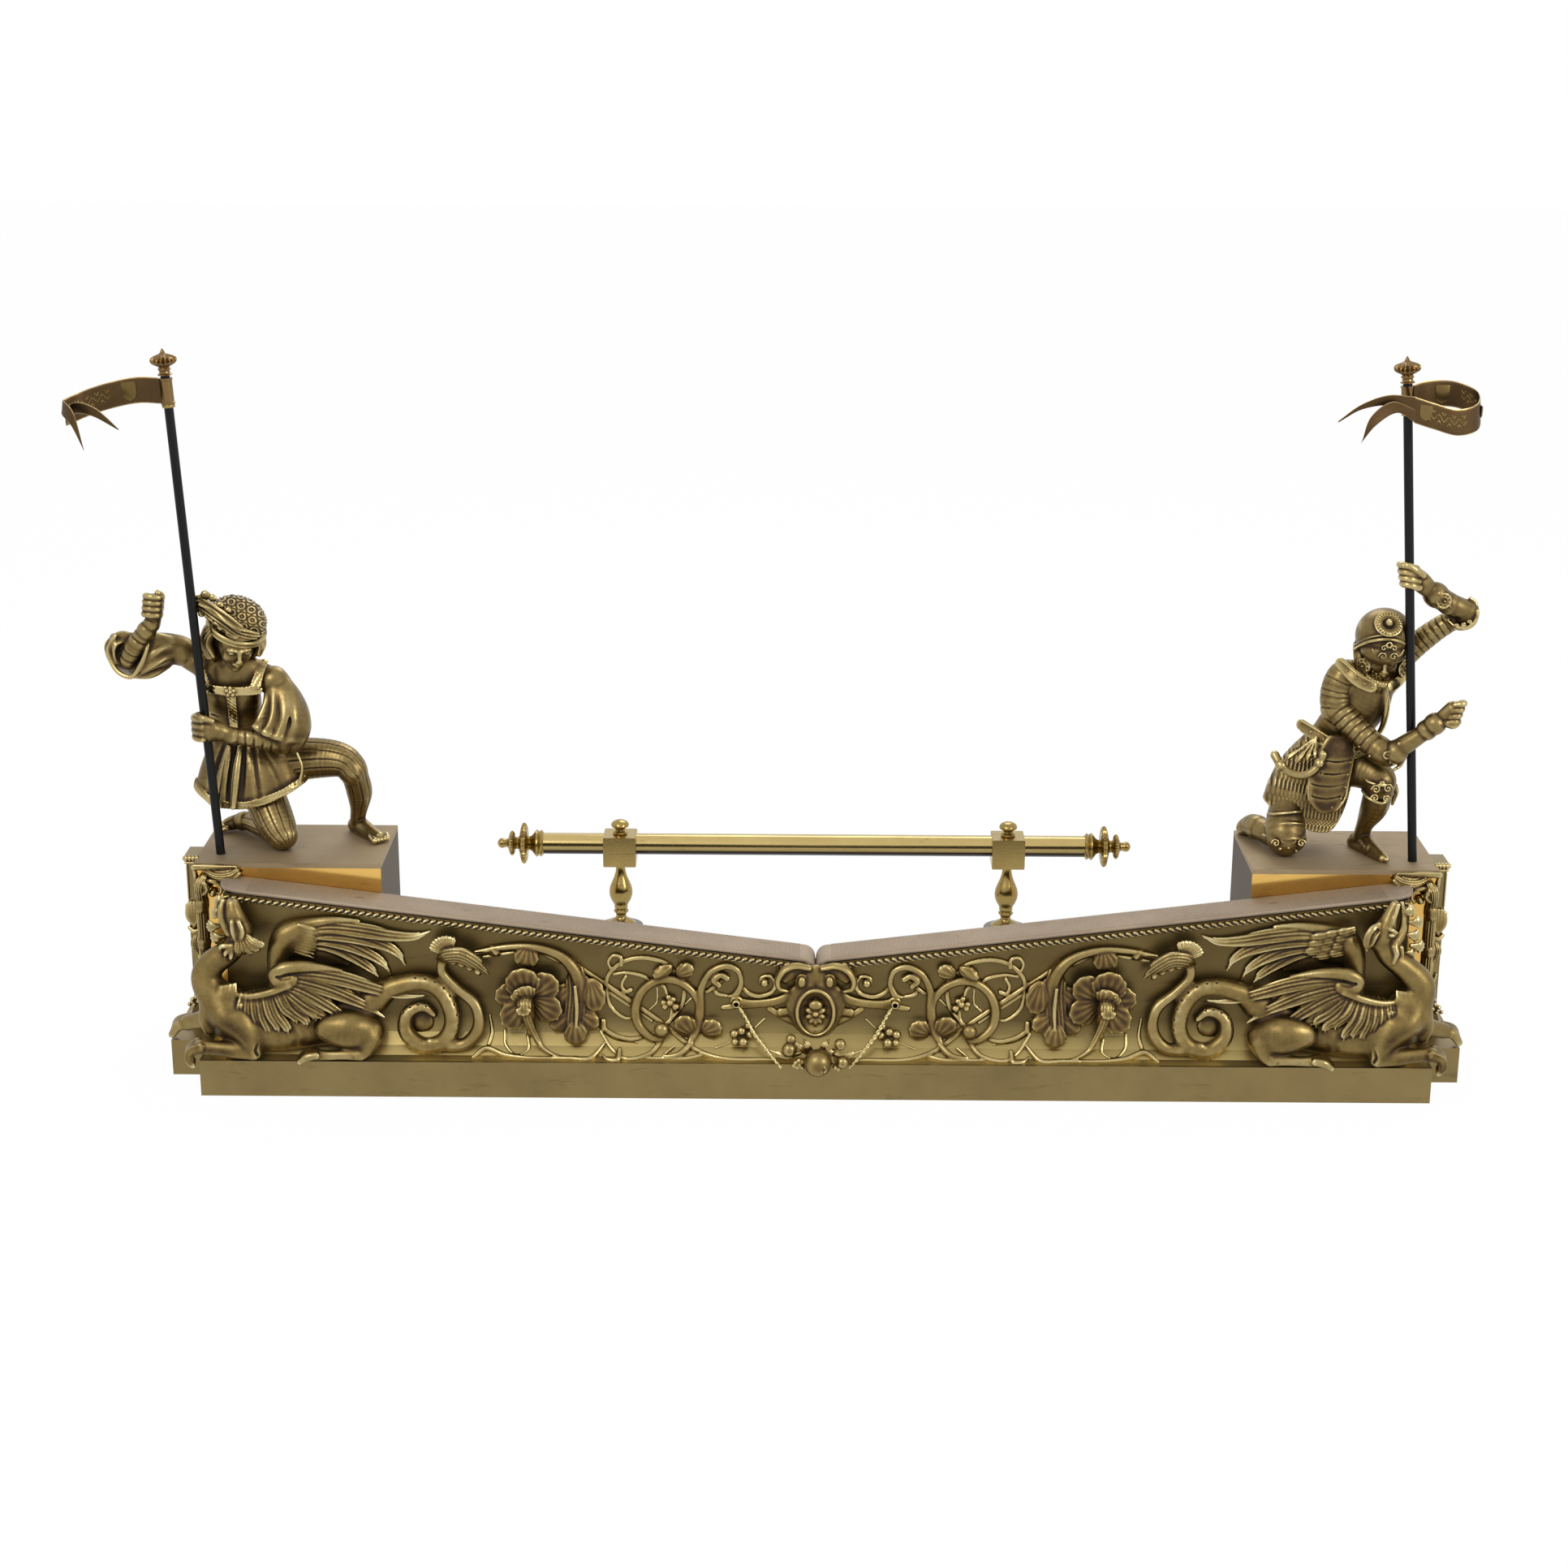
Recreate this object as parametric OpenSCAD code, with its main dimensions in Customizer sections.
/* [Base] */
// Width of the base step across the front
base_w = 1500; // [1470:5:1530]
// Height of the base step
base_h = 46; // [40:1:52]
// Sheet thickness of the base step
base_t = 4; // [3:0.5:6]
// How far the pedestal steps stand out past the base step
step_out = 48; // [42:1:54]
// Setback of the pedestal steps from the front
step_back = 64; // [58:1:70]

/* [Front panel] */
// Depth of the wings from the base front to the pedestals
wing_d = 100; // [96:1:106]
// How far the panel's rounded ends stop short of the base's ends
wing_in = 23; // [18:1:30]
// Height of the top edge beside the centre notch
notch_z = 165; // [160:1:172]
// Height of the top edge at the outer ends
wing_z = 252; // [246:1:256]
// Depth of the ribbed top bars
cap_d = 50; // [46:1:54]
// Thickness of the ribbed top bars
cap_t = 5; // [4:0.5:7]
// How far the cove sinks behind the base front
cove_d = 42; // [38:1:44]
// Height of the hollow curve above the base step
cove_rise = 90; // [80:1:98]
// Thickness of the coved front sheet
sheet_t = 3; // [2:0.5:4]
// Radius of the rope moulding
rope_r = 3.8; // [3:0.2:4.4]

/* [Pedestals] */
// Width of each pedestal
ped_w = 230; // [226:1:236]
// Depth of each pedestal
ped_d = 152; // [146:1:162]
// Height of each pedestal
ped_h = 266; // [262:1:276]
// Sheet thickness of the pedestal walls
ped_t = 3; // [2:0.5:4]
// Thickness of the rough-cast top plates
top_t = 6; // [5:0.5:8]
// How far the pedestals stand out past the base's ends
ped_past = 15; // [12:1:18]
// Width of the corner posts
post_w = 14; // [12:1:17]
// Depth of the corner posts
post_d = 38; // [32:1:44]
// Radius of the reeded corner columns
column_r = 5.5; // [4.5:0.5:6.5]

/* [Poles] */
// Radius of the iron poles
pole_r = 5.5; // [4.5:0.25:6]
// Length of the poles above the pedestals
pole_len = 595; // [570:5:620]
// Depth of the pole sockets below the pedestal tops
socket_d = 24; // [18:1:34]
// Lean of the left pole
lean_left = 3.1; // [2.6:0.1:3.6]
// Lean of the right pole
lean_right = 4.7; // [4.3:0.1:5]
// Running clearance round a pole
pole_gap = 0.08; // [0.05:0.01:0.1]
// Clearance round a pole in a gripping hand
grip_gap = 0.5; // [0.3:0.1:0.8]
// Radius of the turned knobs on the poles
knob_r = 16; // [14:0.5:19]

/* [Pennons] */
// Height of a pennon
pennon_h = 31; // [27:1:34]
// Thickness of a pennon
pennon_t = 2; // [1.5:0.25:3]
// Wall of the sleeve that slips over the pole
sleeve_t = 2; // [1.5:0.25:3]

/* [Figures] */
// Radius of a head
head_r = 25; // [23:0.5:27]
// Radius of a thigh
thigh_r = 20; // [17:0.5:22]
// Radius of a calf
calf_r = 14; // [12:0.5:16]
// Radius of an upper arm
arm_r = 15; // [13:0.5:17]
// Radius of a forearm
forearm_r = 10; // [8:0.5:11.5]
// Radius of the studs that hold the figures
stud_r = 3; // [2.5:0.25:4]

/* [Tool rest] */
// Length of the octagonal tube
rail_len = 749; // [680:5:820]
// Width of the octagonal tube across its corners
rail_w = 29; // [25:0.5:32]
// Height of the tube's centre
rail_z = 159; // [152:1:170]
// Distance of the tube behind the base front
rail_y = 500; // [440:5:600]
// Distance between the uprights
upright_gap = 533; // [480:1:580]
// Width of the square blocks
block_w = 45; // [40:1:50]
// Radius of the feet
foot_r = 30; // [26:1:36]
// Height of the feet
foot_h = 40; // [34:1:44]
// Wall of the octagonal tube
rail_t = 2; // [1.5:0.25:3]

/* [Hidden] */

$fn = 32;
BRASS = [0.62, 0.54, 0.33];
DARK_BRASS = [0.46, 0.38, 0.24];
ROUGH = [0.56, 0.50, 0.43];
IRON = [0.10, 0.10, 0.10];
STONE = [0.52, 0.52, 0.50];
touch = 0.02;
wing_half = base_w / 2 - wing_in;
ped_out = base_w / 2 + ped_past;
drawn_half = 727;
ped_x = ped_out - ped_w / 2;
ped_y = wing_d + ped_d / 2;
ped_in = ped_out - ped_w;
step_w = base_w / 2 + step_out - ped_out;
face_y = 4 + cove_d;
back_t = 3;
cap_y = wing_d - cap_d;
notch_r = 17;
slope = atan((wing_z - notch_z) / (wing_half - notch_r));
cap_end_r = cap_d / 2;
pole_x = 88.4;
pole_y = -40;
knob_h = 32;
sleeve_r = pole_r + pole_gap + sleeve_t;
sleeve_z = pole_len - pennon_h - 3;
stud_len = 26;
nut_r = 6;
nut_h = 6;
strap_z = 70;
strap_h = 30;
strap_t = 5;
screw_r = 3;
rest_gap = 0.02;

// The top edge's height at a distance from the centre
function top_at(x) = notch_z + (x - notch_r) * tan(slope);
// The hollow face of the panel as points from its foot to its upright stretch
cove = [for (a = [0:15:90]) [4 + cove_d * sin(a), base_h + cove_rise * (1 - cos(a))]];

function unit(v) = v / max(norm(v), 0.000001);
function part(v, n) = [for (i = [0:n - 1]) v[i]];
// A smooth curve through hand-set points, with m steps between two of them
function curve(p, m) = [
    for (i = [0:len(p) - 2], k = [0:m - 1])
        let (t = k / m, a = p[max(i - 1, 0)], b = p[i], c = p[i + 1], d = p[min(i + 2, len(p) - 1)])
        0.5 * (2 * b + (c - a) * t + (2 * a - 5 * b + 4 * c - d) * t * t
            + (3 * b - a - 3 * c + d) * t * t * t),
    p[len(p) - 1]];
function heading(p, i) = unit(part(p[min(i + 1, len(p) - 1)] - p[max(i - 1, 0)], 3));

// A round or oval bar along points [x, y, z, radius]; flat is its thickness over its width
module bar(points, steps = 3, sides = 8, ref = [0, 1, 0], flat = 1) {
    q = curve(points, steps);
    n = len(q);
    rings = [
        for (i = [0:n - 1])
            let (d = heading(q, i), a = unit(cross(d, ref)), b = cross(d, a), c = part(q[i], 3))
            for (k = [0:sides - 1])
                c + max(q[i][3], 0.3) * (cos(360 * k / sides) * a + flat * sin(360 * k / sides) * b)];
    tips = [part(q[0], 3) - heading(q, 0) * q[0][3] * 0.5,
        part(q[n - 1], 3) + heading(q, n - 1) * q[n - 1][3] * 0.5];
    start = n * sides;
    last = (n - 1) * sides;
    walls = [
        for (i = [0:n - 2], k = [0:sides - 1])
            let (a = i * sides + k, b = i * sides + (k + 1) % sides)
            each [[a, b + sides, b], [a, a + sides, b + sides]]];
    ends = [
        for (k = [0:sides - 1])
            let (j = (k + 1) % sides)
            each [[start, k, j], [start + 1, last + j, last + k]]];
    polyhedron(concat(rings, tips), concat(walls, ends));
}
// The convex solid round a set of points
module solid_of(points) hull() polyhedron(points, [[for (i = [0:len(points) - 1]) i]]);

module ball(at, r, n = 7) translate(at) sphere(r, $fn = n);
module link(a, b, ra, rb, n = 4) hull() {
    ball(a, ra, n);
    ball(b, rb, n);
}
// Both mirror halves of what is drawn on the right
module pair() {
    children();
    mirror([1, 0, 0]) children();
}
// Frames of the two pole axes, at the pedestal tops
module on_left_pole() translate([-ped_x - pole_x, ped_y + pole_y, ped_h]) rotate([0, -lean_left, 0])
    children();
module on_right_pole() translate([ped_x + pole_x, ped_y + pole_y, ped_h]) rotate([0, -lean_right, 0])
    children();
module pole_space(gap) translate([0, 0, -socket_d]) cylinder(r = pole_r + gap, h = pole_len + socket_d + 60);

// Base: a brass kerb of bent sheet round the foot of the panel
module base_front() color(BRASS) {
    translate([-base_w / 2, 0, 0]) cube([base_w, base_t, base_h]);
    pair() translate([base_w / 2 - base_t, base_t, 0]) cube([base_t, wing_d - base_t, base_h]);
}
module base_ledge() color(BRASS)
    translate([-base_w / 2 + base_t, base_t, base_h - base_t])
        cube([base_w - 2 * base_t, wing_d - base_t, base_t]);
module step_shell() difference() {
    translate([base_w / 2, step_back, 0]) cube([step_out, wing_d + ped_d - step_back, base_h]);
    translate([base_w / 2 + base_t, step_back + base_t, -1])
        cube([step_out - 2 * base_t, wing_d + ped_d - step_back - 2 * base_t, base_h - base_t + 1]);
    translate([0, wing_d, -1]) cube([ped_out, ped_d + 1, base_h + 2]);
}
module pedestal_steps() color(BRASS) pair() step_shell();

// Front panel: two coved sheets that meet behind the cartouche
cove_back = concat(
    [[face_y + sheet_t, ped_h]],
    [for (a = [90:-15:30]) [4 + (cove_d + sheet_t) * sin(a), base_h + cove_rise - (cove_rise + sheet_t) * cos(a)]],
    [[4 + (cove_d + sheet_t) * sin(acos(cove_rise / (cove_rise + sheet_t))), base_h]]);
module cove_profile() polygon(concat(cove, [[face_y, ped_h]], cove_back));
module along_x(a, b) translate([a, 0, 0]) rotate([90, 0, 90]) linear_extrude(b - a) children();
// The space below the top bars, with the roll down into the notch
roll = [[notch_r, notch_z - cap_t], [12, notch_z - 7], [7, notch_z - 12], [5, notch_z - 17]];
module upright(y0, y1) translate([0, y0, 0]) rotate([90, 0, 0]) mirror([0, 0, 1]) linear_extrude(y1 - y0)
    children();
module under_bar() upright(-20, wing_d + 40) polygon(concat(
    [[-1, -1], [wing_half + 1, -1], [wing_half + 1, top_at(wing_half + 1) - cap_t]],
    roll, [[5, notch_z - 19], [-1, notch_z - 19]]));
module front_panel_right() color(DARK_BRASS) intersection() {
    along_x(0, wing_half - 8) cove_profile();
    under_bar();
}
module front_panel_left() mirror([1, 0, 0]) front_panel_right();
module back_plate_right() color(IRON) difference() {
    intersection() {
        translate([0, wing_d - back_t, base_h]) cube([wing_half - 8, back_t, ped_h]);
        under_bar();
    }
    strap_holes();
}
module back_plate_left() mirror([1, 0, 0]) back_plate_right();
module wing_ends() color(DARK_BRASS) pair() intersection() {
    along_x(wing_half - 8 - sheet_t, wing_half - 8)
        polygon(concat([[wing_d - back_t, base_h], [wing_d - back_t, ped_h]], cove_back));
    under_bar();
}
// What the castings on the panel lie against
module panel_space() {
    along_x(8 - wing_half, wing_half - 8) polygon(concat(
        [[4, 0], [4, base_h]], cove, [[face_y, 2 * ped_h], [2 * wing_d, 2 * ped_h], [2 * wing_d, 0]]));
    translate([-base_w / 2, 0, -base_h]) cube([base_w, wing_d, 2 * base_h]);
}

// Ribbed top bars, rounded down at the notch and half round at the outer ends
module top_bar_right() color(ROUGH) intersection() {
    translate([0, cap_y, 0]) union() {
        cube([wing_half - cap_end_r, cap_d, 2 * ped_h]);
        translate([wing_half - cap_end_r, cap_end_r, 0]) cylinder(r = cap_end_r, h = 2 * ped_h);
    }
    upright(cap_y - 5, wing_d + 5) polygon(concat(
        [[0.3, notch_z - 17], [2, notch_z - 9], [7, notch_z - 3], [notch_r, notch_z],
            [wing_half + 5, top_at(wing_half + 5)], [wing_half + 5, top_at(wing_half + 5) - cap_t]],
        roll));
}
module top_bar_left() mirror([1, 0, 0]) top_bar_right();
// Rope moulding along the front edge, under the bar
module rope_right() color(BRASS) difference() {
    translate([0, face_y - 1, top_at(0) - cap_t - rope_r - 0.3]) rotate([0, 90 - slope, 0])
        translate([0, 0, 8]) cylinder(r = rope_r, h = (wing_half - 12) / cos(slope));
    along_x(-1, wing_half) polygon([[face_y, 0], [face_y, 2 * ped_h], [2 * face_y, 2 * ped_h],
        [2 * face_y, 0]]);
}
module rope_left() mirror([1, 0, 0]) rope_right();

// Iron strap that ties the two pedestals behind the panel
module strap_holes() for (x = [120, 400]) translate([x, wing_d - 2 * back_t, strap_z + strap_h / 2])
    rotate([-90, 0, 0]) cylinder(r = screw_r + rest_gap, h = 6 * back_t);
module back_strap() color(IRON) difference() {
    union() {
        translate([-ped_in, wing_d, strap_z]) cube([2 * ped_in, strap_t, strap_h]);
        pair() translate([ped_in - strap_t, wing_d + strap_t, strap_z]) cube([strap_t, strap_h, strap_h]);
    }
    pair() strap_holes();
}
module strap_screws() color(IRON) pair() for (x = [120, 400])
    translate([x, 0, strap_z + strap_h / 2]) {
        translate([0, wing_d - back_t, 0]) rotate([-90, 0, 0]) cylinder(r = screw_r, h = back_t + strap_t);
        translate([0, wing_d + strap_t, 0]) rotate([-90, 0, 0]) cylinder(r = 2 * screw_r, h = screw_r);
    }

// Pedestals: four brass sheets and a rough-cast top plate
module pedestal_sheets_right() color(BRASS) {
    h = ped_h - top_t;
    translate([ped_in, wing_d, 0]) cube([ped_w, ped_t, h]);
    translate([ped_in, wing_d + ped_d - ped_t, 0]) cube([ped_w, ped_t, h]);
    for (x = [ped_in, ped_out - ped_t]) translate([x, wing_d + ped_t, 0]) cube([ped_t, ped_d - 2 * ped_t, h]);
}
module pedestal_sheets_left() mirror([1, 0, 0]) pedestal_sheets_right();
module stud_places(side) {
    places = side < 0 ? [[-12, -18], [70, 42]] : [[-67, -22], [33, 0]];
    for (p = places) translate([side * ped_x + p[0], ped_y + p[1], ped_h]) children();
}
module top_plate(side) difference() {
    translate([side * ped_x - ped_w / 2, wing_d, ped_h - top_t]) cube([ped_w, ped_d, top_t]);
    stud_places(side) translate([0, 0, -2 * top_t]) cylinder(r = stud_r + rest_gap, h = 3 * top_t);
}
module pedestal_top_left() color(ROUGH) difference() {
    top_plate(-1);
    on_left_pole() pole_space(pole_gap);
}
module pedestal_top_right() color(ROUGH) difference() {
    top_plate(1);
    on_right_pole() pole_space(pole_gap);
}
// Blind sockets under the tops, where the poles stand
module socket_block() difference() {
    translate([0, 0, -socket_d - 6]) cylinder(r = 2 * pole_r, h = socket_d + 6);
    pole_space(pole_gap);
}
module pole_sockets() color(IRON) difference() {
    union() {
        on_left_pole() socket_block();
        on_right_pole() socket_block();
    }
    for (s = [-1, 1]) translate([s * ped_x - ped_w / 2, wing_d, ped_h - top_t]) cube([ped_w, ped_d, ped_h]);
}

// Corner posts with a flared foot and a bead at the top
module corner_post_right() color(BRASS) translate([0, wing_d + 22, 0]) {
    flare = [for (a = [0:15:90]) [ped_out + post_w + step_out / 3 * (1 - sin(a)), base_h + 44 * (1 - cos(a))]];
    translate([0, post_d, 0]) rotate([90, 0, 0]) linear_extrude(post_d)
        polygon(concat([[ped_out, ped_h - 2], [ped_out, base_h]], flare, [[ped_out + post_w, ped_h - 2]]));
    translate([ped_out, -2, ped_h - 4]) cube([post_w + 3, post_d + 4, 4]);
}
module corner_post_left() mirror([1, 0, 0]) corner_post_right();

// Reeded columns on the pedestal fronts, with rings, a hook and a leafed top moulding
column_x = ped_out - 8;
column_y = wing_d - column_r;
module corner_column_right() color(BRASS) difference() {
    union() {
        translate([column_x, column_y, base_h]) cylinder(r = column_r, h = ped_h - base_h - 34);
        for (z = [54, 102, 142]) translate([column_x, column_y, ped_h - z])
            cylinder(r = column_r + 1.5, h = 5);
        translate([column_x, column_y, ped_h - 34]) sphere(column_r + 2);
        translate([column_x - 14, wing_d - 4, ped_h - 26]) rotate([90, 0, 0]) difference() {
            cylinder(r = 10, h = 6, center = true);
            cylinder(r = 6, h = 7, center = true);
            translate([-11, -11, -4]) cube([22, 9, 8]);
        }
        translate([ped_out - 56, wing_d - 6, ped_h - 8]) cube([56, 6, 7]);
    }
    translate([ped_in, wing_d, 0]) cube([ped_w, ped_d, 2 * ped_h]);
}
module corner_column_left() mirror([1, 0, 0]) corner_column_right();

// Dragons, drawn on the right and mirrored: bodies, wings and tails are separate castings
dragon_neck_right = [[722, 24, 104, 30], [737, 24, 130, 25], [734, 26, 158, 20], [714, 30, 182, 16],
    [698, 32, 200, 14]];
dragon_head_right = [[694, 32, 204, 15], [694, 31, 222, 14], [694, 29, 238, 9], [697, 28, 247, 5]];
dragon_neck_left = [[724, 24, 104, 30], [742, 26, 130, 25], [744, 30, 156, 20], [728, 32, 178, 15],
    [706, 32, 190, 14]];
dragon_head_left = [[704, 32, 192, 14], [694, 31, 204, 17], [690, 31, 218, 15], [688, 32, 234, 10],
    [694, 32, 241, 6]];
// Castings of the outer ends follow the panel's end
module to_end() translate([wing_half - drawn_half, 0, 0]) children();
module paw(at, out, r) {
    ball(at, r, 6);
    for (k = [-1, 0, 1]) link(at, at + [out, -k * r * 0.5 - 2, -r * 0.4], r * 0.6, r * 0.42, 4);
}
module dragon_form(neck, head) to_end() {
    bar([[560, 34, 118, 14], [580, 30, 100, 26], [610, 28, 92, 30], [650, 26, 90, 29],
        [690, 24, 94, 31], [722, 24, 104, 32], [735, 25, 118, 25]], 1, 8, [0, 1, 0], 0.85);
    bar(neck, 1, 8);
    bar(head, 1, 8);
    bar([[612, 14, 106, 8], [598, 12, 92, 22], [582, 12, 76, 24], [562, 14, 60, 12]], 2, 8, [0, 1, 0], 0.7);
    bar([[556, 14, 54, 8], [580, 8, 53, 7], [606, 5, 54, 7], [626, 4, 55, 7]], 1, 6);
    paw([630, 4, 54], 14, 8);
    bar([[716, 10, 90, 16], [704, 4, 66, 11], [694, 2, 54, 8], [720, -2, 56, 8], [748, -4, 57, 8]], 1, 6);
    paw([754, -4, 56], 6, 8);
    bar([[722, 34, 90, 14], [744, 46, 80, 13], [762, 58, 67, 10], [782, 68, 60, 9]], 1, 8, [0, 1, 0], 1);
    paw([788, 72, 56], 12, 9);
    for (k = [0:4]) link(part(neck[k > 2 ? 3 : 2], 3), part(head[1], 3) + [-12 + k * 5, 6, 2 * k], 5, 2);
}
module dragon_cut(neck, head) difference() {
    dragon_form(neck, head);
    panel_space();
    translate([base_w / 2, step_back, 0]) cube([step_out, ped_d, base_h]);
    translate([ped_in, wing_d, 0]) cube([ped_w, ped_d, ped_h]);
    rope_space();
    column_space();
}
module rope_space() translate([0, face_y, 0]) rotate([90, 0, 0]) linear_extrude(rope_r + 2)
    polygon([[0, top_at(0) - cap_t - 2 * rope_r - 1], [wing_half, top_at(wing_half) - cap_t - 2 * rope_r - 1],
        [wing_half, 2 * ped_h], [0, 2 * ped_h]]);
module column_space() {
    translate([column_x, column_y, 0]) cylinder(r = column_r + 2, h = ped_h);
    translate([ped_out, wing_d + 18, 0]) cube([step_out, post_d + 8, ped_h]);
}
module dragon_right() color(BRASS) dragon_cut(dragon_neck_right, dragon_head_right);
module dragon_left() color(BRASS) mirror([1, 0, 0]) dragon_cut(dragon_neck_left, dragon_head_left);

// A wing as tapered feathers that fan from the shoulder
module wing(root, tips, r, y_out) {
    for (t = tips)
        bar([[root[0], root[1], root[2], r], [(root[0] * 2 + t[0]) / 3, (root[1] + y_out) / 2, (root[2] * 1.2
            + t[2]) / 2.2 + 6, r * 0.9], [t[0], y_out, t[2], r * 0.35]], 1, 4, [0, 1, 0], 0.6);
}
module dragon_wing_form() to_end() {
    wing([646, 36, 196], [[455, 40, 198], [490, 40, 178], [505, 40, 157], [535, 40, 143], [565, 38, 150]], 9, 42);
    bar([[646, 30, 160, 8], [655, 30, 180, 12], [644, 33, 202, 12], [610, 36, 210, 9], [560, 40, 212, 5]], 2, 6);
    wing([644, 20, 150], [[490, 28, 123], [530, 26, 106], [565, 24, 92], [590, 22, 90]], 7, 26);
    bar([[640, 22, 138, 8], [652, 18, 152, 9], [630, 20, 164, 8], [590, 24, 160, 5]], 2, 6);
    for (k = [0:6]) link([641 + k * 11, 11, 131 - k], [627 + k * 12, 4, 103 - 3 * k + (k > 3 ? 5 * (k - 3) : 0)],
        6, 3);
}
module dragon_wings_right() color(BRASS) difference() {
    dragon_wing_form();
    dragon_form(dragon_neck_right, dragon_head_right);
    panel_space();
    rope_space();
}
module dragon_wings_left() color(BRASS) mirror([1, 0, 0]) difference() {
    dragon_wing_form();
    dragon_form(dragon_neck_left, dragon_head_left);
    panel_space();
    rope_space();
}
tail_path = [[572, 36, 112, 14], [540, 36, 128, 12], [495, 34, 143, 12], [458, 30, 130, 11], [447, 26, 102, 11],
    [462, 24, 68, 11], [494, 24, 60, 10], [508, 26, 82, 9], [490, 30, 100, 7], [474, 34, 88, 4]];
tail_end = [[456, 34, 76, 6], [428, 24, 62, 8], [402, 26, 84, 8], [408, 32, 112, 7], [440, 34, 136, 6],
    [458, 36, 158, 6], [444, 38, 180, 7], [428, 38, 186, 5]];
module tail_form() to_end() {
    bar(tail_path, 2, 6);
    bar(tail_end, 2, 5);
    for (k = [0:7]) link([430, 38, 182], [430 - 20 * cos(k * 26 - 20), 36, 180 + 16 * sin(k * 26 - 20)], 5, 4, 4);
}
module dragon_tail_right() color(BRASS) difference() {
    tail_form();
    dragon_form(dragon_neck_right, dragon_head_right);
    dragon_wing_form();
    panel_space();
}
module dragon_tail_left() color(BRASS) mirror([1, 0, 0]) difference() {
    tail_form();
    dragon_form(dragon_neck_left, dragon_head_left);
    dragon_wing_form();
    panel_space();
}

// Scrollwork: acanthus branch, spiral stem, leaves and berries
module lobed_leaf(at, size, turn, lobes = 3) translate(at) rotate([0, turn, 0])
    for (k = [0:lobes - 1]) let (a = (k - (lobes - 1) / 2) * 42)
        link([0, 0, 0], [size * sin(a), -1, size * cos(a) * 0.9], size * 0.24, size * 0.2, 4);
module scroll_form() {
    bar([[424, 43, 172, 4], [380, 42, 187, 4], [350, 40, 190, 6], [312, 38, 175, 8], [286, 37, 148, 9],
        [268, 36, 118, 9], [262, 34, 92, 8]], 1, 6);
    bar([[262, 40, 94, 5], [300, 24, 60, 5], [330, 22, 58, 4], [352, 24, 70, 3]], 1, 5);
    lobed_leaf([352, 40, 185], 20, 150);
    lobed_leaf([304, 34, 134], 24, 200);
    lobed_leaf([262, 32, 120], 26, 140);
    lobed_leaf([270, 30, 90], 26, 190);
    bar([[262, 44, 140, 4], [236, 44, 158, 4], [200, 44, 160, 4], [168, 44, 148, 4], [158, 42, 118, 4],
        [176, 40, 86, 4]], 1, 5);
    lobed_leaf([172, 42, 152], 16, -60);
    bar([for (a = [0:60:540]) let (r = 36 - a * 0.024) [181 - r * sin(a + 100), 36, 100 + r * cos(a + 100), 4]], 1, 5);
    for (k = [0:4]) ball([181 + 7 * cos(72 * k), 36, 108 + 7 * sin(72 * k)], 5, 4);
    bar([[262, 40, 160, 3], [220, 38, 116, 4], [160, 34, 76, 4], [128, 30, 62, 3]], 1, 6);
    bar([[118, 44, 156, 4], [126, 42, 138, 5], [106, 38, 108, 6], [112, 32, 76, 6], [136, 24, 56, 4]], 1, 5);
    lobed_leaf([120, 28, 78], 20, 120);
    lobed_leaf([98, 30, 80], 18, 60);
    bar([[122, 44, 150, 3], [100, 45, 164, 3], [70, 45, 150, 3], [50, 44, 128, 3], [34, 43, 136, 3], [34, 43, 150, 3]], 1, 5);
    bar([[92, 44, 132, 3], [76, 44, 146, 3], [62, 44, 134, 3], [76, 42, 122, 3]], 1, 5);
    for (k = [0:4]) ball([90 + 9 * cos(72 * k), 30, 74 + 9 * sin(72 * k)], 6.5, 4);
    bar([[440, 8, 52, 3], [380, 9, 52, 3], [330, 10, 54, 3], [262, 14, 62, 3], [244, 18, 58, 4], [180, 10, 54, 3],
        [120, 8, 52, 3], [60, 8, 52, 2]], 1, 5);
}
module flower_form() {
    for (k = [0:4]) hull() {
        ball([353 + 8 * cos(72 * k), 30, 114 + 8 * sin(72 * k)], 7, 5);
        ball([353 + 28 * cos(72 * k + 18), 26, 116 + 28 * sin(72 * k + 18)], 10, 5);
        ball([353 + 28 * cos(72 * k - 18), 26, 116 + 28 * sin(72 * k - 18)], 10, 5);
    }
    bar([[342, 12, 116, 11], [338, 14, 104, 8], [332, 18, 82, 5], [322, 18, 64, 4], [300, 16, 58, 3]], 2, 6);
    for (k = [0:2]) link([342, 14, 116], [330 - 4 * k, 10, 126 - 5 * k], 6, 4);
}
module scrollwork_right() color(BRASS) difference() {
    scroll_form();
    panel_space();
    rope_space();
    flower_form();
    tail_form();
    cartouche_form();
    swag_form();
}
module scrollwork_left() mirror([1, 0, 0]) scrollwork_right();
module flower_right() color(BRASS) difference() {
    flower_form();
    panel_space();
    tail_form();
}
module flower_left() mirror([1, 0, 0]) flower_right();

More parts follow.
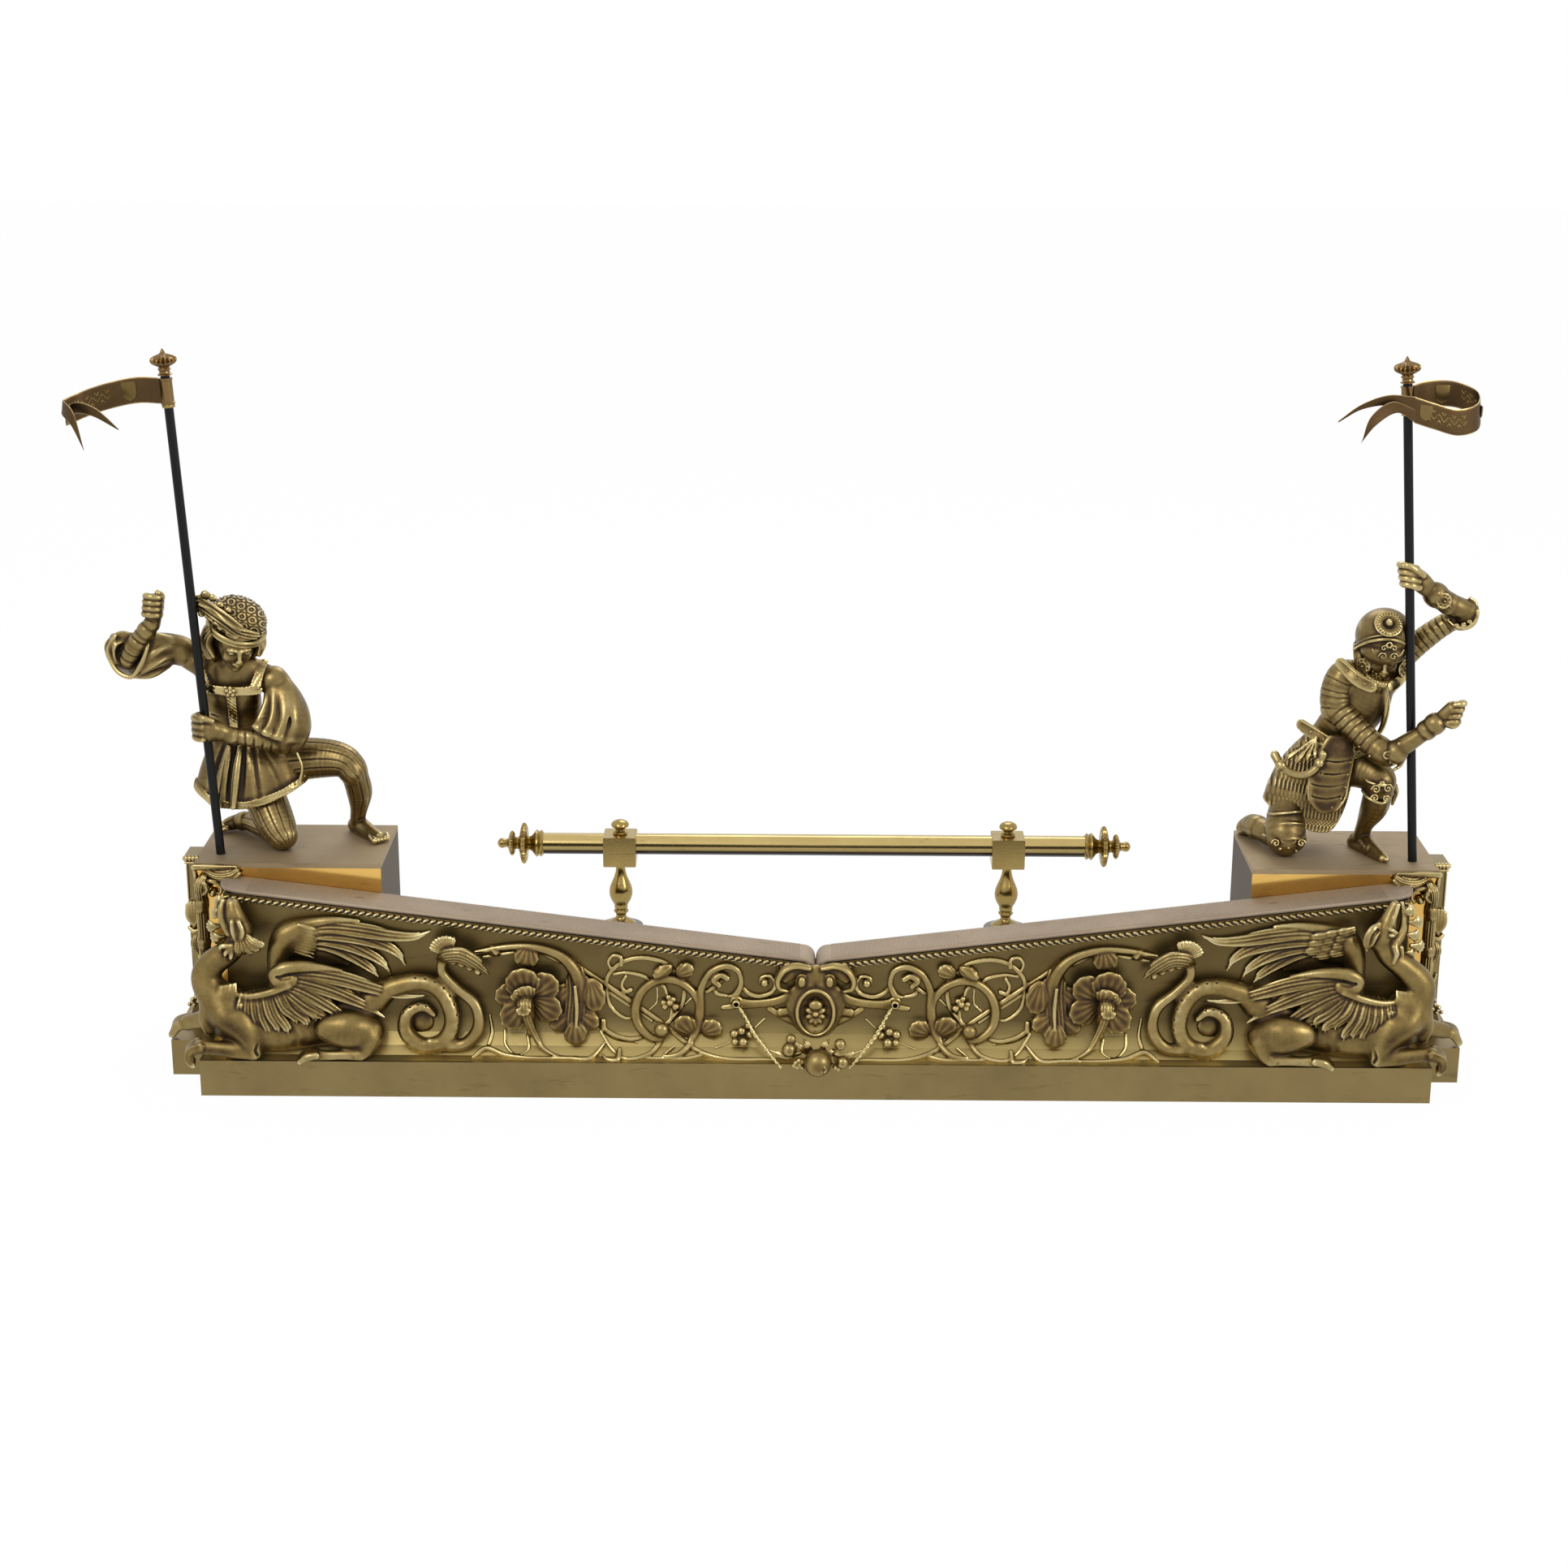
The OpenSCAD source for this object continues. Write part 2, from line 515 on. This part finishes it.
// Cartouche: pierced strapwork plate with an oval ring, side arms and eyelets
module plate_outline() {
    polygon([[0, 60], [16, 62], [26, 78], [22, 96], [40, 92], [62, 102], [88, 104], [104, 112], [96, 120],
        [70, 118], [46, 128], [34, 142], [24, 154], [12, 150], [0, 140]]);
    mirror([1, 0]) polygon([[0, 60], [16, 62], [26, 78], [22, 96], [40, 92], [62, 102], [88, 104], [104, 112],
        [96, 120], [70, 118], [46, 128], [34, 142], [24, 154], [12, 150], [0, 140]]);
}
module cartouche_form() {
    translate([0, face_y, 0]) rotate([90, 0, 0]) linear_extrude(14) difference() {
        plate_outline();
        for (s = [-1, 1]) {
            polygon([[s * 30, 108], [s * 40, 122], [s * 46, 112]]);
            translate([s * 98, 112]) circle(3);
        }
    }
    translate([0, face_y, 98]) scale([0.78, 1, 1]) rotate([90, 0, 0]) cylinder(r = 30, h = 20);
    for (s = [-1, 1]) translate([s * 20, face_y, 140]) rotate([90, 0, 0]) cylinder(r = 8, h = 18);
}
module cartouche() color(DARK_BRASS) difference() {
    cartouche_form();
    translate([0, face_y - 12, 98]) scale([0.78, 1, 1]) rotate([90, 0, 0]) cylinder(r = 23, h = 20);
    panel_space();
    rope_space();
    mirror([1, 0, 0]) rope_space();
}
module cartouche_boss() color(BRASS) translate([0, face_y - 12, 98]) difference() {
    union() {
        for (k = [0:7]) link([0, 0, 0], [10 * cos(45 * k), 1, 14 * sin(45 * k)], 6, 4);
        ball([0, -5, 0], 5);
    }
    translate([-40, 0, -40]) cube([80, 40, 80]);
}
// Swag of fruit slung from the eyelets
module swag_form() {
    for (s = [-1, 1]) {
        link([s * 97, 28, 110], [s * 58, 18, 66], 3.5, 3.5);
        link([s * 58, 18, 66], [s * 34, 8, 52], 3.5, 3.5);
        ball([s * 97, 29, 111], 7, 6);
        ball([s * 33, 6, 58], 9, 6);
        ball([s * 27, 12, 70], 7, 6);
        for (k = [0:2]) ball([s * 22 + 4 * cos(120 * k), -2, 46 + 4 * sin(120 * k)], 3.5, 4);
        link([s * 12, 8, 60], [s * 24, 6, 66], 4, 2);
        link([s * 16, 10, 66], [s * 6, 12, 74], 4, 2);
    }
    ball([0, 2, 50], 17, 10);
}
module fruit_swag() color(BRASS) difference() {
    swag_form();
    panel_space();
    cartouche_form();
}

// Young squire kneeling on the left pedestal, in places from the top's centre
module at_left() translate([-ped_x, ped_y, ped_h]) children();
module at_right() translate([ped_x, ped_y, ped_h]) children();
module grounded() difference() {
    children();
    translate([-300, -300, -200]) cube([600, 600, 200]);
}
module hand(at, out, r, across = [0, 0, 1]) {
    ball(at, r);
    for (k = [-1.5, -0.5, 0.5, 1.5])
        link(at + across * k * r * 0.5, at + across * k * r * 0.5 + out * r * 0.9, r * 0.42, r * 0.3, 5);
}
squire_hip = [-56, 24, 92];
module squire_body_form() {
    bar([[-64, 22, 84, 40], [-68, 20, 110, 33], [-70, 16, 134, 28], [-71, 8, 160, 31], [-72, 0, 188, 35],
        [-72, -6, 210, 28], [-72, -11, 224, 14], [-70, -14, 236, 12]], 1, 12, [0, 1, 0], 0.72);
    bar([[-69, 18, 136, 30], [-67, 17, 118, 36], [-64, 14, 92, 52], [-62, 12, 60, 66]], 1, 14, [0, 1, 0], 0.6);
    link([-76, 2, 208], [-112, 8, 226], 20, 17, 6);
    link([-68, -2, 208], [-20, -6, 206], 20, 16, 6);
    for (k = [0:9]) link([-64 + 34 * cos(36 * k), 16 + 20 * sin(36 * k), 118],
        [-62 + 64 * cos(36 * k), 12 + 38 * sin(36 * k), 58], 4, 5, 4);
}
module squire_head_form() {
    translate([-62, -24, 262]) rotate([-24, 8, 0]) {
        scale([0.84, 0.95, 1.2]) sphere(head_r, $fn = 10);
        hull() {
            ball([-18, 12, 6], 14);
            ball([-16, 12, -18], 10);
        }
        hull() {
            ball([18, 12, 6], 14);
            ball([16, 12, -18], 10);
        }
        hull() {
            ball([0, 14, 8], 20);
            ball([0, 16, -16], 15);
        }
        link([0, -head_r * 0.9, 2], [0, -head_r * 0.95 - 3, -6], 2.5, 3.5);
        ball([0, -head_r * 0.62, -24], 6);
    }
}
module squire_cap_form() {
    translate([-60, -12, 296]) rotate([-12, 19, 0]) {
        scale([1.25, 1.05, 0.62]) sphere(36, $fn = 12);
        for (k = [0:5]) link([-28 + k * 3, -26 - k, 2 - k], [-44 + k * 14, -30 - 3 * sin(k * 32), -4 - k], 6, 6);
        ball([-46, -8, 6], 9);
    }
}
module squire_arms_form() {
    bar([[-118, 8, 230, 15], [-150, 6, 226, 17], [-182, 2, 226, 24], [-200, 0, 238, 20], [-192, -4, 250, 14]], 2, 6);
    bar([[-196, -2, 240, 12], [-180, -8, 262, 10], [-164, -15, 280, 8], [-158, -18, 292, 8]], 2, 6);
    hand([-156, -20, 304], [0.2, -0.9, 0.3], 12);
    link([-150, -22, 312], [-150, -24, 324], 4, 3);
    bar([[-20, -6, 204, 17], [-6, -10, 180, 21], [8, -16, 156, 22], [4, -26, 142, 16]], 2, 6);
    bar([[4, -28, 142, 13], [-24, -36, 145, 11], [-56, -42, 150, 9], [-72, -44, 154, 8]], 2, 6);
    hand([-91, -41, 158], [-0.9, 0.1, 0], 13);
}
module squire_kneeling_leg() color(BRASS) at_left() grounded() difference() {
    union() {
        bar([[-52, 24, 84, thigh_r + 4], [-38, 8, 56, thigh_r + 2], [-20, -14, 28, thigh_r],
            [-12, -20, 14, thigh_r - 3]], 2, 6);
        bar([[-12, -18, 14, 15], [-36, 10, 15, calf_r], [-62, 36, 14, calf_r - 2], [-84, 56, 12, 9]], 2, 6);
        for (k = [0:4]) link([-84, 54, 8], [-96 - k, 46 + k * 5, 5], 7, 4);
        for (k = [0:3]) link([-88, 50, 6 + k], [-100, 44 + k * 4, 5], 5, 3);
    }
    squire_body_form();
    squire_skirt_clear();
}
module squire_skirt_clear() link([-64, 20, 96], [-64, 20, 70], 30, 30);
module squire_forward_leg() color(BRASS) at_left() grounded() difference() {
    union() {
        bar([[-40, 26, 98, thigh_r + 3], [0, 26, 104, thigh_r + 3], [40, 20, 108, thigh_r + 1],
            [66, 14, 104, thigh_r - 1], [74, 20, 84, calf_r + 2], [76, 30, 58, calf_r], [70, 40, 30, 10],
            [68, 44, 14, 9]], 2, 6);
        link([66, 50, 9], [84, 28, 9], 9, 9, 6);
        link([84, 28, 9], [100, 8, 6], 9, 7, 6);
        for (k = [0:4]) link([92 + k * 3, 14 - k, 6], [98 + k * 4, 0 + 2 * k, 4.5], 5, 4);
        for (k = [0:2]) link([64, 52, 8], [60 + k * 3, 56 - k, 6], 8, 6);
    }
    squire_body_form();
    squire_skirt_clear();
}
module squire_body() color(BRASS) at_left() squire_body_form();
module squire_head() color(BRASS) at_left() difference() {
    squire_head_form();
    squire_body_form();
    link([-62, -24, 262], [-62, -23, 262.5], 1, 1);
}
module squire_cap() color(BRASS) difference() {
    at_left() difference() {
        squire_cap_form();
        squire_head_form();
        squire_body_form();
    }
    on_left_pole() pole_space(grip_gap);
}
module squire_arms() color(BRASS) difference() {
    at_left() difference() {
        squire_arms_form();
        squire_body_form();
        squire_head_form();
        squire_cap_form();
    }
    on_left_pole() pole_space(grip_gap);
}

// Knight kneeling on the right pedestal
module knight_body_form() {
    bar([[-22, 26, 92, 36], [-14, 24, 116, 30], [-4, 18, 138, 28], [10, 8, 166, 31], [24, 0, 194, 34],
        [30, -5, 212, 26], [32, -9, 226, 13], [34, -13, 236, 12]], 1, 12, [0, 1, 0], 0.74);
    bar([[-12, 24, 122, 32], [-20, 24, 100, 40], [-28, 22, 74, 52], [-34, 18, 44, 56]], 1, 12, [0, 1, 0], 0.62);
    link([22, 2, 206], [-8, -8, 212], 20, 18, 6);
    link([36, 2, 208], [66, 12, 232], 19, 15, 6);
    for (k = [0:7]) link([-16 + 34 * cos(45 * k), 24 + 20 * sin(45 * k), 108],
        [-33 + 54 * cos(45 * k), 18 + 33 * sin(45 * k), 44], 4, 4, 4);
}
module knight_face_form() {
    translate([38, -27, 254]) rotate([-28, 0, 0]) {
        scale([0.8, 0.95, 1.15]) sphere(head_r, $fn = 10);
        link([0, -head_r * 0.9, 0], [0, -head_r * 0.95 - 3, -8], 2.5, 3.5);
        ball([0, -head_r * 0.6, -23], 6);
        for (s = [-1, 1]) link([s * 9, -20, 4], [s * 4, -21, 4], 3, 3);
        for (s = [-1, 1]) link([s * 10, -17, -8], [s * 12, -14, -2], 5, 5);
        for (k = [0:2]) link([-5 + k * 3, -19, -15], [5 - k * 3, -19, -15 - k], 3, 3);
    }
}
module knight_helmet_form() {
    translate([40, -16, 272]) rotate([-16, 4, 0]) {
        scale([1, 1.05, 1.1]) sphere(36, $fn = 14);
        translate([0, -34, 8]) rotate([80, 0, 0]) cylinder(r1 = 16, r2 = 5, h = 10, $fn = 12);
        for (s = [-1, 1]) hull() {
            ball([s * 30, -4, -8], 8);
            ball([s * 27, -10, -34], 6);
        }
        for (k = [0:6]) link([-33 * cos(k * 15), -33 * sin(k * 15) * 0.9 - 4, -8],
            [-33 * cos(k * 15 + 15), -33 * sin(k * 15 + 15) * 0.9 - 4, -8], 4, 4);
    }
}
module knight_arms_form() {
    bar([[-10, -8, 212, 19], [-4, -18, 192, 18], [14, -32, 166, 15], [36, -44, 146, 13], [50, -50, 136, 14]], 1, 6);
    bar([[50, -52, 137, 11], [70, -60, 153, 10], [90, -67, 168, 9], [104, -70, 182, 9]], 1, 6);
    link([50, -51, 137], [53, -54, 141], 16, 14, 6);
    link([94, -68, 172], [104, -70, 184], 10, 14, 6);
    hand([119, -73, 198], [0.7, -0.2, 0.5], 11, [-0.5, 0, 0.7]);
    bar([[62, 12, 232, 16], [84, 10, 252, 15], [112, 2, 276, 13], [134, -6, 296, 13]], 1, 6);
    link([138, -9, 302], [132, -14, 310], 16, 14, 6);
    bar([[136, -10, 308, 12], [118, -18, 320, 11], [98, -26, 334, 10], [86, -31, 342, 11]], 1, 6);
    link([98, -27, 334], [86, -32, 342], 13, 10, 6);
    hand([66, -37, 354], [-0.9, 0.05, 0.2], 13, [-0.2, 0, 1]);
    for (k = [0:3]) link([-6 + k * 12, -22 - k * 7, 196 - k * 15], [6 + k * 12, -14 - k * 8, 182 - k * 14], 15 - k, 15 - k, 6);
}
module knight_kneeling_leg() color(BRASS) at_right() grounded() difference() {
    union() {
        bar([[-40, 26, 80, thigh_r + 4], [-58, 8, 54, thigh_r + 3], [-68, -16, 30, thigh_r + 1],
            [-68, -24, 16, thigh_r - 3]], 2, 6);
        bar([[-68, -20, 15, 15], [-78, 8, 17, calf_r], [-90, 34, 17, calf_r - 1], [-96, 54, 12, 11]], 2, 6);
        for (k = [0:3]) link([-94, 52, 10], [-104 + k * 4, 62 - k, 6], 10, 6);
        for (k = [0:4]) link([-84 + k * 8, -33, 22], [-80 + k * 6, -36, 12], 5, 4);
    }
    knight_body_form();
}
module knight_forward_leg() color(BRASS) at_right() grounded() difference() {
    union() {
        bar([[-10, 22, 100, thigh_r + 3], [16, 2, 106, thigh_r + 1], [38, -20, 102, thigh_r],
            [44, -28, 88, calf_r + 3], [42, -16, 60, calf_r + 1], [34, 2, 34, 10], [32, 8, 16, 10]], 2, 6);
        link([30, 14, 9], [40, -14, 8], 10, 9, 6);
        link([40, -14, 8], [50, -42, 5], 9, 5, 6);
        link([40, -32, 104], [46, -36, 82], 16, 14, 6);
        for (k = [0:4]) link([28 + 6 * k, -38, 96 - k], [30 + 6 * k, -40, 84 + k], 5, 5);
    }
    knight_body_form();
}
module knight_body() color(DARK_BRASS) at_right() knight_body_form();
module helmet_open() difference() {
    knight_helmet_form();
    knight_body_form();
    translate([38, -48, 240]) rotate([-28, 0, 0]) scale([1, 1, 1.3]) sphere(23, $fn = 12);
}
module knight_face() color(BRASS) at_right() difference() {
    knight_face_form();
    knight_body_form();
    helmet_open();
}
module knight_helmet() color(BRASS) difference() {
    at_right() helmet_open();
    on_right_pole() pole_space(grip_gap);
}
module knight_arms() color(BRASS) difference() {
    at_right() difference() {
        knight_arms_form();
        knight_body_form();
        knight_helmet_form();
        knight_face_form();
        knight_leg_space();
    }
    on_right_pole() pole_space(grip_gap);
}
module knight_leg_space() bar([[-10, 22, 100, thigh_r + 3], [16, 2, 106, thigh_r + 1], [38, -20, 102, thigh_r],
    [44, -28, 88, calf_r + 3]], 2, 6);
module knight_tasset() color(BRASS) at_right() difference() {
    union() {
        for (k = [0:4]) hull() for (s = [-1, 1], h = [0, 1])
            ball([-14 - 3 * k + s * (18 - abs(k - 2) * 2), -1 - 3 * k, 128 - 15 * k - 11 * h], 3.5, 5);
        for (k = [0:5]) link([-78 + 11 * k, -1 - k / 2, 120 - 5 * sin(36 * k)],
            [-67 + 11 * k, -1 - k / 2, 120 - 5 * sin(36 * k + 36)], 4, 4);
        for (k = [0:3]) link([-28, -4, 136], [-52 + 9 * k, -4, 116 + 2 * k], 3, 3.5);
    }
    knight_body_form();
    knight_arms_form();
    knight_leg_space();
}

// Threaded studs and nuts that hold the figures from below
module figure_studs() color(IRON) for (s = [-1, 1]) stud_places(s)
    translate([0, 0, -stud_len]) cylinder(r = stud_r, h = stud_len);
module figure_nuts() color(IRON) for (s = [-1, 1]) stud_places(s)
    translate([0, 0, -top_t - nut_h]) difference() {
        cylinder(r = nut_r, h = nut_h, $fn = 6);
        translate([0, 0, -1]) cylinder(r = stud_r + rest_gap, h = nut_h + 2);
    }

// Poles, their turned knobs and collars
module pole_rod() difference() {
    translate([0, 0, -socket_d]) cylinder(r = pole_r, h = pole_len + socket_d);
}
module pole_left() color(IRON) on_left_pole() pole_rod();
module pole_right() color(IRON) on_right_pole() pole_rod();
module knob_set() {
    translate([0, 0, pole_len]) rotate_extrude() polygon([[0, 0], [8, 0], [8.5, 1.5], [6.5, 3], [6.2, 5.5],
        [7.6, 7.5], [6.4, 9.5], [9, 11.5], [13, 13.5], [knob_r, 17.5], [knob_r - 0.7, 20], [13, 22.5], [7, 25],
        [3.2, 26.5], [1.8, 29], [0, knob_h]]);
    translate([0, 0, sleeve_z - 4.2]) difference() {
        cylinder(r = sleeve_r + 1, h = 4);
        translate([0, 0, -1]) cylinder(r = pole_r, h = 6);
    }
}
module pole_knobs_left() color(BRASS) on_left_pole() knob_set();
module pole_knobs_right() color(BRASS) on_right_pole() knob_set();

// A bent band from its upper and lower edges
module band(up, low, t) {
    n = len(up);
    side = [for (i = [0:n - 1])
        unit(cross(up[min(i + 1, n - 1)] - up[max(i - 1, 0)], up[i] - low[i])) * t / 2];
    for (i = [0:n - 2]) solid_of([for (j = [i, i + 1])
        each [up[j] + side[j], up[j] - side[j], low[j] - side[j], low[j] + side[j]]]);
}
function shifted(p, dz) = [for (v = p) v + [0, 0, dz]];
module sleeve() difference() {
    cylinder(r = sleeve_r, h = pennon_h);
    translate([0, 0, -1]) cylinder(r = pole_r + pole_gap, h = pennon_h + 2);
}
// Left pennon: hangs away from the figure and drops its two points in front
flag_left = curve([[-sleeve_r + 1, 2, 0], [-36, 4, 2], [-70, 2, -3], [-98, -8, -10], [-116, -26, -16]], 2);
point_a_up = curve([[-116, -26, -16], [-110, -46, -15], [-96, -62, -28], [-88, -68, -69]], 2);
point_a_low = curve([[-116, -26, -32], [-114, -46, -31], [-100, -63, -42], [-88, -68.5, -70]], 2);
point_b_up = curve([[-116, -26, -33], [-98, -44, -17], [-72, -56, -23], [-46, -62, -48]], 2);
point_b_low = curve([[-116, -26, -47], [-100, -42, -31], [-76, -54, -33], [-46.5, -62, -49]], 2);
module pennon_left() color(BRASS) on_left_pole() translate([0, 0, sleeve_z]) {
    sleeve();
    translate([0, 0, pennon_h]) {
        band(flag_left, shifted(flag_left, -pennon_h), pennon_t);
        band(point_a_up, point_a_low, pennon_t);
        band(point_b_up, point_b_low, pennon_t);
    }
}
// Right pennon: loops out and back in front of the pole, and ends in two points
flag_right = curve([[sleeve_r - 1, 2, 0], [30, 12, 2], [60, 12, -2], [80, -6, -12], [74, -32, -22], [48, -46, -24],
    [20, -50, -14], [-4, -52, -4]], 2);
tail_right_a = curve([[-2, -51.9, -4.5], [-34, -54, 0], [-66, -58, -8], [-93, -62, -24]], 2);
tail_right_a_low = curve([[-2, -51.9, -19.5], [-34, -52, -12], [-66, -57, -14], [-93.5, -62, -26]], 2);
tail_right_b = curve([[-2, -51.9, -19], [-30, -58, -7], [-56, -64, -22], [-67, -66, -49]], 2);
tail_right_b_low = curve([[-2, -51.9, -35], [-24, -56, -21], [-50, -64, -32], [-68, -66, -51]], 2);
module pennon_right() color(BRASS) on_right_pole() translate([0, 0, sleeve_z]) {
    sleeve();
    translate([0, 0, pennon_h]) {
        band(flag_right, shifted(flag_right, -pennon_h), pennon_t);
        band(tail_right_a, tail_right_a_low, pennon_t);
        band(tail_right_b, tail_right_b_low, pennon_t);
    }
}

// Tool rest: an octagonal tube on two turned uprights with round feet
block_z = 132;
block_h = 42;
module rail_tube() color(BRASS) translate([0, rail_y, rail_z]) {
    rotate([0, 90, 0]) rotate([0, 0, 22.5]) difference() {
        cylinder(r = rail_w / 2, h = rail_len, center = true, $fn = 8);
        cylinder(r = rail_w / 2 - rail_t, h = rail_len + 2, center = true, $fn = 8);
    }
    for (s = [-1, 1]) scale([s, 1, 1]) translate([rail_len / 2, 0, 0]) rotate([0, 90, 0]) rotate_extrude()
        polygon([[0, 0], [16, 0], [18.5, 3], [16.5, 6], [18, 9], [15, 12], [9, 14], [8, 18], [22, 20], [28, 24],
            [28, 28], [20, 31], [9, 33], [8, 37], [15, 39], [17, 42], [14, 46], [6, 48], [5, 50], [7, 55], [5, 60],
            [0, 62]]);
}
module rail_uprights() color(BRASS) pair() translate([upright_gap / 2, rail_y, 0]) {
    difference() {
        translate([-block_w / 2, -block_w / 2, block_z]) cube([block_w, block_w, block_h]);
        translate([0, 0, rail_z]) rotate([0, 90, 0]) rotate([0, 0, 22.5])
            cylinder(r = rail_w / 2 + rest_gap, h = 2 * block_w, center = true, $fn = 8);
    }
    translate([0, 0, block_z + block_h]) rotate_extrude() polygon([[0, 0], [9, 0], [10, 3], [7, 6], [7, 8], [12, 11],
        [12, 14], [9, 18], [0, 20]]);
    translate([0, 0, foot_h]) rotate_extrude() polygon([[0, 0], [21.5, 0], [21.5, 4], [17, 7], [10, 9], [7, 14],
        [7, 20], [10, 23], [8, 26], [10, 32], [15, 40], [16, 50], [13, 62], [8, 74], [6.5, 80], [10, 84], [10, 88],
        [7, 90], [7, block_z - foot_h], [0, block_z - foot_h]]);
}
module rail_feet() color(STONE) pair() translate([upright_gap / 2, rail_y, 0])
    cylinder(r = foot_r, h = foot_h);

base_front();
base_ledge();
pedestal_steps();
front_panel_left();
front_panel_right();
wing_ends();
back_plate_left();
back_plate_right();
back_strap();
strap_screws();
top_bar_left();
top_bar_right();
rope_left();
rope_right();
pedestal_sheets_left();
pedestal_sheets_right();
pedestal_top_left();
pedestal_top_right();
corner_post_left();
corner_post_right();
corner_column_left();
corner_column_right();
dragon_left();
dragon_right();
dragon_wings_left();
dragon_wings_right();
dragon_tail_left();
dragon_tail_right();
scrollwork_left();
scrollwork_right();
flower_left();
flower_right();
cartouche();
cartouche_boss();
fruit_swag();
squire_body();
squire_head();
squire_cap();
squire_arms();
squire_kneeling_leg();
squire_forward_leg();
knight_body();
knight_helmet();
knight_face();
knight_arms();
knight_kneeling_leg();
knight_forward_leg();
knight_tasset();
figure_studs();
figure_nuts();
pole_left();
pole_right();
pole_knobs_left();
pole_knobs_right();
pennon_left();
pennon_right();
pole_sockets();
rail_tube();
rail_uprights();
rail_feet();
